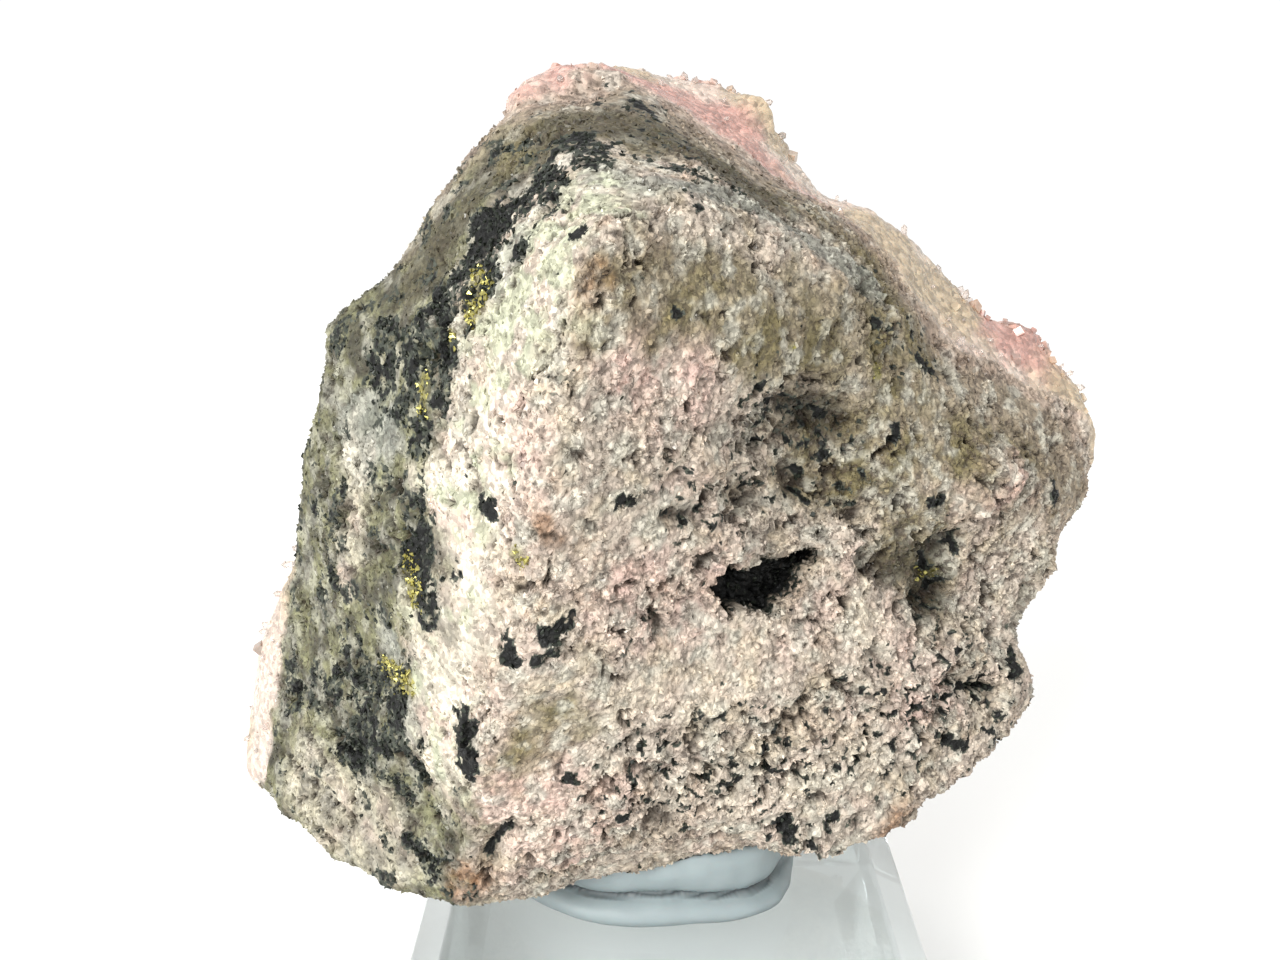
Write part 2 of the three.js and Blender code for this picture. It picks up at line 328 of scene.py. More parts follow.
# Hollows and knobs: route, reach and height in millimetres. A hollow's height is below zero.
HOLLOWS = [
    ([(7.5, -10, 54.5), (10.5, -7.5, 53.5)], 3.6, -1.1),
    ([(-9.5, 4, 74), (-5.5, 4, 74.5)], 3.6, 1.0),
    ([(6.4, 9, 72.8)], 2.5, 1.3),
    ([(9.3, 8.5, 69.8)], 1.8, -0.5),
    ([(9, -7, 22.5), (14, -6, 23), (18, -4.5, 24)], 3.6, 1.1),
    ([(19, -2, 42.5), (18.5, -2, 39.5)], 3.0, -1.9),
    ([(9, -9, 45.5)], 1.2, -0.8),
    ([(0, -15, 50), (2, -14, 49.5)], 1.3, -0.9),
    ([(3.5, -12, 50.5), (5.5, -10.5, 49.5)], 1.4, -1.0),
    ([(7.5, -8, 50.5), (8.5, -7.5, 49.5)], 1.2, -0.9),
    ([(11.5, -7, 47.5), (12.5, -7, 47)], 1.1, -0.8),
    ([(14, -7.5, 37.5), (15, -7, 36)], 1.2, -0.8),
    ([(-2, -14.5, 32.5), (-0.5, -13.5, 31.5)], 1.3, -0.9),
    ([(-1, -12.5, 27.5), (0, -11.5, 26.5)], 1.5, -1.0),
    ([(-12, -15, 26.5), (-10.5, -15.5, 28.5)], 1.4, -1.0),
    ([(22, -2.5, 32.5), (24, -1, 31)], 1.8, -1.1),
    ([(6, -10.5, 54), (5, -10.5, 52.5)], 1.3, -0.8),
    ([(-4.5, -15, 33), (-2, -15, 35), (3, -12.5, 35)], 0.8, -0.35),
    ([(13, -7, 44), (15, -5.5, 42)], 1.3, -0.8),
    ([(27.5, 3.5, 37.5)], 1.8, -1.0),
    ([(23.5, 0, 48), (22, -1, 47)], 3.2, 1.0),
    ([(11.5, -6.5, 49), (13, -6, 49.5)], 2.0, 0.8),
    ([(1.5, -15, 53), (2.5, -13.5, 52)], 1.8, 0.8),
    ([(21, -2, 36), (19.5, -3.5, 35)], 1.9, 0.8),
    ([(9.5, -8, 61), (10.5, -7.5, 62)], 2.4, 0.9),
    ([(0.5, -16, 57), (1.5, -15, 55.5)], 2.0, 0.7),
]
# Ground that broke cleaner than the rest, and ground that broke rougher.
CLEAN_BREAKS = [
    ([(-5, -18, 58), (-5, -17.5, 48)], 5.0),
    ([(-1, -15, 40), (2, -13, 37)], 3.0),
    ([(-8, -17, 36), (-7, -16, 30)], 4.5),
    ([(14, -6, 36), (20, -3.5, 35)], 2.6),
]
CRUMBLY_GROUND = [
    ([(6, -10, 54), (10, -8, 54), (12, -7, 50)], 4.5),
    ([(14, -6, 45), (19, -2, 41), (23, 0, 39)], 4.5),
    ([(-2, -14, 31), (10, -9, 31), (23, -2, 33)], 5.0),
    ([(3, -12, 50), (5, -11, 48)], 3.5),
]
# The crust begins this far back, and wraps further forward or less far round some places.
CRUST_FRONT = 4.8
CRUST_WRAPS = [
    ([(-8, 0, 74), (-14, 0, 68), (-19, 0, 62)], 5.0, -3.0),
    ([(-35, 4, 34), (-34, 4, 26)], 7.0, -4.6),
    ([(26, 0, 28), (20, 0, 24)], 12.0, 4.0),
    ([(1, 4, 73), (12, 4, 67), (19, 5, 60), (26, 8, 55)], 6.0, -1.4),
    ([(26, 4, 52), (31, 7, 49), (31, 7, 43)], 5.5, 4.2),
]


def smooth(values):
    """Eases a ramp from 0 to 1."""
    held = np.clip(values, 0.0, 1.0)
    return held * held * (3 - 2 * held)


def noise_field(points, across, octaves=1, shift=0.0):
    """Fractal noise, about -1 to 1, with waves `across` millimetres long at the points."""
    offset = Vector((shift, 2.7 * shift, -1.3 * shift))
    return np.array([noise.fractal(Vector(p) + offset, 0.9, 2.0, octaves) for p in points / across])


def cell_field(points, across, shift=0.0):
    """How far each point is from the nearest joint between random lumps `across` millimetres wide."""
    offset = Vector((shift, 2.7 * shift, -1.3 * shift))
    gaps = []
    for p in points / across:
        distances = noise.voronoi(Vector(p) + offset)[0]
        gaps.append(distances[1] - distances[0])
    return np.array(gaps)


def distance_to(points, route):
    """Each point's distance from a route of straight stretches."""
    stops = [np.array(stop, float) for stop in route]
    nearest = np.linalg.norm(points - stops[0], axis=1)
    for a, b in zip(stops, stops[1:]):
        along = np.clip((points - a) @ (b - a) / ((b - a) @ (b - a)), 0, 1)
        nearest = np.minimum(nearest, np.linalg.norm(points - a - along[:, None] * (b - a), axis=1))
    return nearest


def zone(points, ragged, routes, edge=0.35):
    """1 inside a mineral zone and 0 outside it, with an edge that wanders as the ragged field does."""
    best = np.zeros(len(points))
    for route, reach in routes:
        wander = points + ragged * min(0.5 * reach, 1.2)
        best = np.maximum(best, smooth((1 + edge / 2 - distance_to(wander, route) / reach) / edge))
    return best


def remeshed(mesh, edge):
    """A copy of a closed mesh with even faces about `edge` wide."""
    worker = bpy.data.objects.new("worker", mesh)
    bpy.context.collection.objects.link(worker)
    even = worker.modifiers.new("even", "REMESH")
    even.mode = "VOXEL"
    even.voxel_size = edge
    evaluated = worker.evaluated_get(bpy.context.evaluated_depsgraph_get())
    made = bpy.data.meshes.new_from_object(evaluated)
    bpy.data.objects.remove(worker)
    return made


def edge_ends(mesh):
    """The two vertices of each of the mesh's edges."""
    ends = np.empty(len(mesh.edges) * 2, np.int32)
    mesh.edges.foreach_get("vertices", ends)
    return ends.reshape(-1, 2)


def neighbour_mean(values, ends):
    """Each vertex's mean over the vertices that it shares an edge with."""
    a, b = ends[:, 0], ends[:, 1]
    count = np.bincount(a, minlength=len(values)) + np.bincount(b, minlength=len(values))
    columns = []
    for column in np.atleast_2d(values.T):
        total = np.bincount(a, column[b], len(values)) + np.bincount(b, column[a], len(values))
        columns.append(total / np.maximum(count, 1))
    return np.array(columns).T.reshape(values.shape)


def vertex_places(mesh):
    """The mesh's vertex places in millimetres."""
    found = np.empty(len(mesh.vertices) * 3, np.float32)
    mesh.vertices.foreach_get("co", found)
    return found.reshape(-1, 3).astype(float) / MM


def vertex_normals(mesh):
    """The mesh's vertex normals."""
    found = np.empty(len(mesh.vertices) * 3, np.float32)
    mesh.vertex_normals.foreach_get("vector", found)
    return found.reshape(-1, 3).astype(float)


def set_places(mesh, places):
    """Moves the mesh's vertices to places given in millimetres."""
    mesh.vertices.foreach_set("co", (places * MM).astype(np.float32).ravel())
    mesh.update()


def face_centres(mesh):
    """The middle of each of the mesh's faces, in millimetres."""
    found = np.empty(len(mesh.polygons) * 3, np.float32)
    mesh.polygons.foreach_get("center", found)
    return found.reshape(-1, 3).astype(float) / MM


def refine(mesh, chosen):
    """Cuts each chosen face in four, and cuts its neighbours to match."""
    worker = bmesh.new()
    worker.from_mesh(mesh)
    worker.faces.ensure_lookup_table()
    edges = {edge for i in np.flatnonzero(chosen) for edge in worker.faces[i].edges}
    bmesh.ops.subdivide_edges(worker, edges=list(edges), cuts=1, use_grid_fill=True)
    worker.to_mesh(mesh)
    worker.free()


def cut_out(mesh, name, chosen):
    """A copy of the mesh with only its chosen faces."""
    worker = bmesh.new()
    worker.from_mesh(mesh)
    worker.faces.ensure_lookup_table()
    spare = [worker.faces[i] for i in np.flatnonzero(~chosen)]
    bmesh.ops.delete(worker, geom=spare, context="FACES")
    made = bpy.data.meshes.new(name)
    worker.to_mesh(made)
    worker.free()
    return made


stone_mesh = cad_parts["stone"].data.copy()
welder = bmesh.new()
welder.from_mesh(stone_mesh)
bmesh.ops.remove_doubles(welder, verts=welder.verts, dist=0.01 * MM)
welder.to_mesh(stone_mesh)
welder.free()
stone_mesh = remeshed(stone_mesh, STONE_EDGE * (1))
ends = edge_ends(stone_mesh)
places = vertex_places(stone_mesh)
for _ in range(STONE_SMOOTHING_PASSES):
    places = 0.4 * places + 0.6 * neighbour_mean(places, ends)
set_places(stone_mesh, places)
underneath = np.empty(len(stone_mesh.polygons) * 3, np.float32)
stone_mesh.polygons.foreach_get("normal", underneath)
underneath = underneath.reshape(-1, 3)[:, 2] < -0.8
middles = face_centres(stone_mesh)
reach_back = CRUST_FRONT + 1.5 + 5 * (middles[:, 2] > 42)
refine(stone_mesh, (middles[:, 1] < reach_back) & ~underneath)

normals = vertex_normals(stone_mesh)
base = vertex_places(stone_mesh)
ends = edge_ends(stone_mesh)
ragged = np.stack([noise_field(base, 2.0, 3, shift) for shift in (11.0, 23.0, 37.0)], axis=1)

crust_front = np.full(len(base), CRUST_FRONT)
for route, reach, shift in CRUST_WRAPS:
    crust_front += shift * smooth(1.2 - distance_to(base, route) / reach)
behind = base[:, 1] - crust_front + 1.0 * ragged[:, 0]
crust = smooth(behind / 1.6 + 0.5)
matrix = 1 - crust

# Fracture: broad lumps, blocks with creases between them, scattered pits, and sugar-like grain. Some
# patches broke cleaner than others, so all but the broad lumps are calmer there.
lumps = noise_field(base, 7.0, 3, 3.0)
broken = 0.3 + 0.7 * smooth(0.55 + 1.4 * noise_field(base, 7.0, 2, 17.0))
broken *= 1 - 0.4 * zone(base, ragged, CLEAN_BREAKS, 1.4)
broken = np.maximum(broken, zone(base, ragged, CRUMBLY_GROUND, 1.4))
blocks = cell_field(base + 0.3 * ragged, 2.7, 5.0)
crumbs = cell_field(base + 0.2 * ragged, 1.15, 9.0)
grains = cell_field(base, 0.5, 29.0)
hole_noise = noise_field(base + 0.5 * ragged, 1.9, 4, 41.0)
pits = smooth((hole_noise + 0.25 * broken - 0.5) / 0.2)
grit = noise_field(base, 0.55, 2, 53.0)
rough = 0.45 * lumps
rough += broken * (1.0 * (np.minimum(blocks, 0.3) - 0.2) + 0.6 * (np.minimum(crumbs, 0.4) - 0.25))
rough += 0.34 * (np.minimum(grains, 0.45) - 0.3) + broken * (0.14 * grit - 0.75 * pits)
calm = 1 - 0.55 * smooth((base[:, 2] - 66 + 0.3 * base[:, 0]) / 4)
calm *= 1 - 0.35 * smooth((-12 - base[:, 0]) / 4)
calm *= 1 - 0.5 * zone(base, ragged, CREAM_SEAM, 0.6)
calm *= 1 - 0.65 * zone(base, ragged, MAUVE_BAND, 1.0)
rough *= matrix * calm
druse_lumps = cell_field(base + 0.4 * ragged, 2.6, 67.0)
druse_knobs = cell_field(base, 0.85, 71.0)
back = smooth((base[:, 1] - 9) / 4)
rough += crust * (0.3 + 0.2 * back) * noise_field(base, 5.0, 2, 61.0)
rough += crust * (0.12 + 1.1 * back) * np.minimum(druse_lumps, 0.5)
rough += crust * back * 1.2 * noise_field(base, 11.0, 2, 157.0)
rough += crust * (0.18 + 0.12 * back) * (np.minimum(druse_knobs, 0.5) - 0.3)
hollow = np.zeros(len(base))
for route, reach, height in HOLLOWS:
    share = smooth(1 - distance_to(base + 0.3 * reach * ragged, route) / reach)
    rough += height * share
    hollow = np.maximum(hollow, share * (height < 0))
vug = zone(base, ragged, BLACK_VUG, 0.6)
vug = smooth((vug + 0.3 * noise_field(base, 1.0, 3, 151.0) - 0.35) / 0.3)
rough -= 2.2 * vug
# The stone's ends and its top stand out up to half a millimetre more.
swell = 0.5 * smooth((np.abs(base[:, 0]) - 16) / 8 + smooth((base[:, 2] - 60) / 8))
places = base + normals * (rough + swell - STONE_SKIN)[:, None]
set_places(stone_mesh, places)

# Cavity is how deep each place lies under the mean of its surroundings, in millimetres.
settled = places
for _ in range(CAVITY_PASSES):
    settled = neighbour_mean(settled, ends)
cavity = np.sum((settled - places) * vertex_normals(stone_mesh), axis=1)

# The left flank is olive skarn rock; a seam of cream carbonate runs down the ridge beside it.
gangue = smooth((-11.5 - base[:, 0] + 1.6 * ragged[:, 1] - 0.16 * np.maximum(base[:, 2] - 62, 0)) / 3.5)
gangue = np.maximum(gangue, 0.9 * zone(base, ragged, [([(-20, -4, 60), (-12, -4, 70)], 6.0)], 0.6))
veins = zone(base, ragged, SULFIDE_VEINS, 1.1)
seam = zone(base, 1.5 * ragged, CREAM_SEAM, 0.9) * (1 - 0.75 * veins)
cream = seam * (1 - 0.6 * smooth((base[:, 2] - 51) / 9))
cream = np.maximum(cream, 0.5 * zone(base, ragged, CREAM_PATCHES, 1.2) * (1 - 0.75 * veins))
quartz = zone(base, ragged, GREY_QUARTZ, 0.8)
olive = zone(base, ragged, OLIVE_SKARN, 0.9)
pink = zone(base, ragged, PINK_PATCHES, 1.0)
rust = zone(base, ragged, RUST_STAINS, 1.1)
upper = smooth((base[:, 2] - 44 - 0.5 * np.maximum(20 - base[:, 0], 0)) / 6 + 0.5)
under_crust = np.exp(-((behind + 1.2) ** 2) / 1.5) * upper
mauve_band = np.exp(-((behind + 3.4) ** 2) / 3.0) * upper


def scattered(share, pattern, edge=0.12):
    """1 where a pattern's blotches cover that share of the surface, and 0 between them."""
    rank = np.empty(len(pattern))
    rank[np.argsort(pattern)] = np.linspace(0, 1, len(pattern))
    return smooth((share - rank) / edge + 0.5)


dusting = zone(base, ragged, SULFIDE_DUSTINGS, 1.2)
spots = zone(base, 1.6 * ragged, SULFIDE_SPOTS, 0.9)
dark_share = 0.78 * veins
thin_dark = 0.03 * smooth(0.5 + noise_field(base, 5.0, 2, 83.0))
dark_share = np.maximum(dark_share, 0.02 + 0.1 * gangue + thin_dark)
dark_share *= matrix * (1 - 0.6 * cream)
crumble = noise_field(base, 0.75, 3, 149.0)
blotches = noise_field(base, 2.1, 5, 127.0) + 0.3 * noise_field(base, 0.5, 2, 137.0)
dark = scattered(dark_share, blotches, 0.3) * smooth(dark_share / 0.1)
dark *= 0.62 + 0.38 * smooth(0.6 + 1.8 * noise_field(base, 0.9, 3, 173.0))
specks = scattered((0.14 + 0.2 * hollow) * dusting, crumble, 0.1)
dark = np.maximum(dark, specks * smooth(dusting / 0.2))
dark = np.maximum(dark, smooth((1.3 * spots + 1.1 * crumble - 0.5) / 0.4) * (spots > 0.02)) * matrix
pale_share = 0.22 + 0.1 * gangue + 0.12 * quartz + 0.1 * veins
pale = scattered(pale_share, noise_field(base, 1.6, 4, 131.0), 0.6) * matrix * (1 - 0.5 * gangue)
pyrite = zone(base, ragged, PYRITE_CLUSTERS, 0.9)

tones = {
    "matrix": "#A6998B",
    "matrix_grey": "#867C70",
    "matrix_buff": "#9E9177",
    "gangue": "#3D3B2E",
    "gangue_pale": "#6B6A4E",
    "cream": "#BFB6A5",
    "seam_green": "#999E84",
    "pink": "#B3968C",
    "olive": "#665D3F",
    "skarn": "#3F3A29",
    "quartz": "#71736A",
    "pale": "#A9A79A",
    "mauve": "#7A6E5D",
    "rust": "#7A5433",
    "pyrite_dust": "#6A6534",
    # Painted shade, laid below into cavities and hollows.
    "painted_shade": "#2E251D",
    "crust_pink": "#A4776C",
    "crust_pale": "#B4A89A",
    "crust_tan": "#9B8A6E",
}
paint = {name: np.array(linear(value)[:3]) for name, value in tones.items()}


def laid(colour, tone, share):
    """Lays a tone over the colours, by each vertex's share."""
    share = np.clip(share, 0, 1)[:, None]
    return colour * (1 - share) + paint[tone] * share


mottle = smooth(0.5 + 0.9 * noise_field(base, 3.2, 3, 91.0))
fleck = smooth(0.5 + 1.2 * noise_field(base, 1.1, 3, 97.0))
cloud = smooth(0.5 + 0.9 * noise_field(base, 2.2, 3, 103.0))
colour = np.repeat(paint["matrix"][None], len(base), 0)
colour = laid(colour, "matrix_grey", 0.7 * mottle)
colour = laid(colour, "matrix_buff", 0.55 * smooth(0.3 + 1.3 * noise_field(base, 2.6, 3, 89.0)))
colour = laid(colour, "pink", 0.5 * pink + 0.3 * smooth(noise_field(base, 4.0, 2, 101.0) + 0.3))
colour = laid(colour, "cream", 0.3 * fleck)
colour = laid(colour, "gangue", gangue)
colour = laid(colour, "gangue_pale", gangue * cloud)
colour = laid(colour, "olive", olive * (0.6 + 0.4 * mottle))
colour = laid(colour, "mauve", np.maximum(0.5 * mauve_band, 0.85 * zone(base, ragged, MAUVE_BAND, 1.0)))
colour = laid(colour, "quartz", quartz * 0.8)
colour = laid(colour, "pale", 0.7 * pale)
colour = laid(colour, "cream", cream * (0.55 + 0.45 * cloud))
green_share = 0.2 + 0.5 * smooth((base[:, 2] - 56) / 6)
colour = laid(colour, "pink", 0.45 * cream * smooth(0.2 + 1.5 * noise_field(base, 3.0, 3, 163.0)))
greens = scattered(green_share, noise_field(base, 1.8, 3, 139.0), 0.4)
colour = laid(colour, "seam_green", 0.75 * seam * greens)
colour = laid(colour, "skarn", 0.85 * zone(base, ragged, DARK_SKARN, 1.0))
colour = laid(colour, "pink", 0.25 * under_crust)
colour = laid(colour, "pyrite_dust", 0.75 * pyrite)
colour = laid(colour, "rust", rust * (0.35 + 0.4 * fleck))
blush = smooth(0.6 + 1.1 * noise_field(base, 6.0, 2, 107.0)) * (0.2 + 0.8 * back)
blush = np.maximum(blush, zone(base, ragged, PINK_CRUST, 1.2))
colour = laid(colour, "crust_pale", crust)
colour = laid(colour, "crust_pink", crust * (0.08 + 0.8 * blush))
tan = smooth(noise_field(base, 7.0, 2, 113.0) * 1.8 - 0.2)
tan = np.maximum(tan, zone(base, ragged, TAN_CRUST, 0.9))
colour = laid(colour, "crust_tan", crust * (0.85 - 0.5 * back) * tan)
# Painted shade: a dark brown laid into the matrix's cavities and sunken hollows, and more faintly into the
# crust's cavities.
colour = laid(colour, "painted_shade", matrix * 0.9 * smooth((cavity - 0.03) / 0.2))
colour = laid(colour, "painted_shade", 0.33 * hollow * matrix)
colour = laid(colour, "painted_shade", 0.3 * crust * smooth((cavity - 0.06) / 0.2))

facts = {
    "grain_here": matrix * (1 - vug) * (0.25 + 0.75 * broken) * (1 - dark) * (0.4 + 0.6 * calm),
    "sulfide_here": np.maximum(dark, 0.7 * vug) * matrix * (0.3 + 0.7 * (dark_share > 0.15)),
    "pyrite_here": pyrite * smooth(0.6 + 1.6 * crumble),
    "rhomb_here": crust * (0.3 + 0.7 * blush) * (0.03 + 0.97 * back),
    "quartz_here": crust * (1 - 0.6 * blush) * (0.06 + 0.94 * back),
    "dark": np.maximum(dark, vug),
    "crumbly": matrix * (1 - 0.85 * cream) * (0.45 + 0.55 * broken) * (1 - 0.4 * gangue),
    "vug": vug,
}
for name, values in facts.items():
    stone_mesh.attributes.new(name, "FLOAT", "POINT").data.foreach_set("value", values.astype(np.float32))
# The colour attribute holds each mineral's colour with the painted shade of cavities and hollows laid on it.
rgba = np.hstack([colour, np.ones((len(colour), 1))]).astype(np.float32)
stone_mesh.attributes.new("mineral", "FLOAT_COLOR", "POINT").data.foreach_set("color", rgba.ravel())


def remap(tree, value, low, high, to_low=0.0, to_high=1.0, curve="LINEAR"):
    """The value, with the range low to high stretched to the range to_low to to_high."""
    node = add(
        tree,
        "ShaderNodeMapRange",
        {"Value": value, "From Min": low, "From Max": high, "To Min": to_low, "To Max": to_high},
        interpolation_type=curve,
    )
    return node.outputs[0]


def calc(tree, operation, a, b):
    """The result of one sum on two values."""
    return add(tree, "ShaderNodeMath", {0: a, 1: b}, operation=operation).outputs[0]


def blend(tree, share, under, over):
    """One colour laid over another by a share."""
    return add(tree, "ShaderNodeMix", {0: share, 6: under, 7: over}, data_type="RGBA").outputs[2]


def rock_material(name, grain, roughness, gloss, bump=0.0, dark=True, **sockets):
    """Rock in the colour written on its mesh, where each grain is a little lighter, darker, duller or
    glossier. With `dark`, painted shade in the gaps between crumbs and dark sulfide take up their share of
    each place."""
    material, tree, output = new_material(name)
    place = add(tree, "ShaderNodeTexCoord").outputs["Object"]
    mineral = add(tree, "ShaderNodeAttribute", attribute_name="mineral").outputs["Color"]
    tone = add(tree, "ShaderNodeAttribute", attribute_name="tone").outputs["Fac"]
    bend = add(tree, "ShaderNodeTexNoise", {"Vector": place, "Scale": 1 / (0.9 * MM), "Detail": 3})
    shove = add(
        tree,
        "ShaderNodeVectorMath",
        {0: bend.outputs["Color"], 1: (0.35 * MM,) * 3},
        operation="MULTIPLY",
    )
    bent = add(tree, "ShaderNodeVectorMath", {0: place, 1: shove.outputs[0]}, operation="ADD")
    cells = add(tree, "ShaderNodeTexVoronoi", {"Vector": bent.outputs[0], "Scale": 1 / (grain * MM)})
    lot = add(tree, "ShaderNodeSeparateColor", {"Color": cells.outputs["Color"]})
    cloud = add(
        tree,
        "ShaderNodeTexNoise",
        {"Vector": bent.outputs[0], "Scale": 1 / (1.1 * MM), "Detail": 6, "Roughness": 0.65},
    )
    value = calc(
        tree,
        "MULTIPLY",
        remap(tree, lot.outputs[0], 0, 1, 0.75, 1.55),
        remap(tree, cloud.outputs["Fac"], 0.3, 0.7, 0.8, 1.2),
    )
    value = calc(tree, "MULTIPLY", value, calc(tree, "ADD", tone, 1.0))
    colour = mineral
    if dark:
        crumbly = add(tree, "ShaderNodeAttribute", attribute_name="crumbly").outputs["Fac"]
        crumb = add(
            tree,
            "ShaderNodeTexNoise",
            {"Vector": place, "Scale": 1 / (0.55 * MM), "Detail": 5, "Roughness": 0.7},
        )
        # Painted shade: where the ground is crumbly, the gaps between crumbs are laid dark brown.
        gap = remap(tree, crumb.outputs["Fac"], 0.4, 0.5, 0.75, 0.0, "SMOOTHSTEP")
        colour = blend(tree, calc(tree, "MULTIPLY", gap, crumbly), colour, linear("#3F342B"))
    shine = remap(tree, lot.outputs[1], 0, 1, roughness - gloss, roughness)
    metal = 0.0
    if dark:
        edge = calc(tree, "MULTIPLY", calc(tree, "SUBTRACT", lot.outputs[2], 0.5), 0.75)
        dark_here = add(tree, "ShaderNodeAttribute", attribute_name="dark").outputs["Fac"]
        is_dark = remap(tree, calc(tree, "ADD", dark_here, edge), 0.25, 0.7, curve="SMOOTHSTEP")
    colour = add(
        tree, "ShaderNodeHueSaturation", {"Color": colour, "Value": value, "Saturation": 0.95}
    ).outputs[0]
    if dark:
        vug = add(tree, "ShaderNodeAttribute", attribute_name="vug").outputs["Fac"]
        solid_ore = remap(tree, dark_here, 0.82, 0.95)
        ore = blend(tree, lot.outputs[0], linear("#1B1F1B"), linear("#474B41"))
        ore = blend(tree, solid_ore, ore, linear("#0B0C0A"))
        # Inside the vug the dark ore is darkened further to near-black, as painted shade deep in the hollow.
        ore = blend(tree, calc(tree, "MULTIPLY", vug, 0.9), ore, linear("#020302"))
        colour = blend(tree, is_dark, colour, ore)
        metal = calc(tree, "MULTIPLY", is_dark, 0.1)
    look = {"Base Color": colour, "Roughness": shine, "Metallic": metal, **sockets}
    surface = finish_material(tree, output, look)
    if bump:
        lift = add(
            tree,
            "ShaderNodeBump",
            {"Height": cells.outputs["Distance"], "Strength": bump, "Distance": 0.1 * MM},
            invert=True,
        )
        tree.links.new(lift.outputs[0], surface.inputs["Normal"])
    return material


rock = rock_material(
    "rhodochrosite_matrix",
    grain=0.3,
    roughness=0.85,
    gloss=0.4,
    bump=0.7,
    **{"IOR": 1.6, "Specular IOR Level": 0.25},
)
WAXY_DEPTH = {
    "Subsurface Weight": 0.25,
    "Subsurface Radius": (0.8, 0.5, 0.45),
    "Subsurface Scale": 0.8 * MM,
}
crust_rock = rock_material(
    "rhodochrosite_crust",
    grain=0.35,
    roughness=0.6,
    gloss=0.4,
    bump=0.6,
    dark=False,
    IOR=1.65,
    **WAXY_DEPTH,
)
middles = face_centres(stone_mesh)
corner_of = np.empty(len(stone_mesh.loops), np.int32)
stone_mesh.loops.foreach_get("vertex_index", corner_of)
first_corner = np.empty(len(stone_mesh.polygons), np.int32)
stone_mesh.polygons.foreach_get("loop_start", first_corner)
is_crust = crust[corner_of[first_corner]] > 0.5
left = middles[:, 0] < LEFT_FLANK_EDGE
upper_half = middles[:, 2] > UPPER_FACE_FOOT
for name, chosen, material in (
    ("stone_left_flank", ~is_crust & left, rock),
    ("stone_upper_face", ~is_crust & ~left & upper_half, rock),
    ("stone_lower_face", ~is_crust & ~left & ~upper_half, rock),
    ("stone_crust", is_crust, crust_rock),
):
    part = cut_out(stone_mesh, name, chosen)
    new_piece(name, part, material, "stone")


# ---------------------------------------------------------------------------------------------------
# Grains. Sugary carbonate and quartz grains, dark sulfide grains and brass-coloured pyrite stand
# out of the broken faces. One Geometry Nodes tree scatters a few cut shapes over the stone wherever
# its attribute for that mineral says, turns and sizes each one, and makes them all one mesh.
# ---------------------------------------------------------------------------------------------------
def hull_shape(name, seed, points):
    """A small convex chip, one unit across, from random points."""
    draw = random.Random(seed)
    shape = bmesh.new()
    for _ in range(points):
        way = Vector([draw.gauss(0, 1) for _ in range(3)]).normalized() * draw.uniform(0.42, 0.55)
        shape.verts.new(way)
    made = bmesh.ops.convex_hull(shape, input=shape.verts)
    inside = {v for v in (*made["geom_interior"], *made["geom_unused"]) if isinstance(v, bmesh.types.BMVert)}
    bmesh.ops.delete(shape, geom=list(inside), context="VERTS")
    bmesh.ops.recalc_face_normals(shape, faces=shape.faces)
    return finished_shape(name, shape)


def finished_shape(name, shape):
    """A bmesh as an object that isn't in the scene."""
    mesh = bpy.data.meshes.new(name)
    shape.to_mesh(mesh)
    shape.free()
    return bpy.data.objects.new(name, mesh)


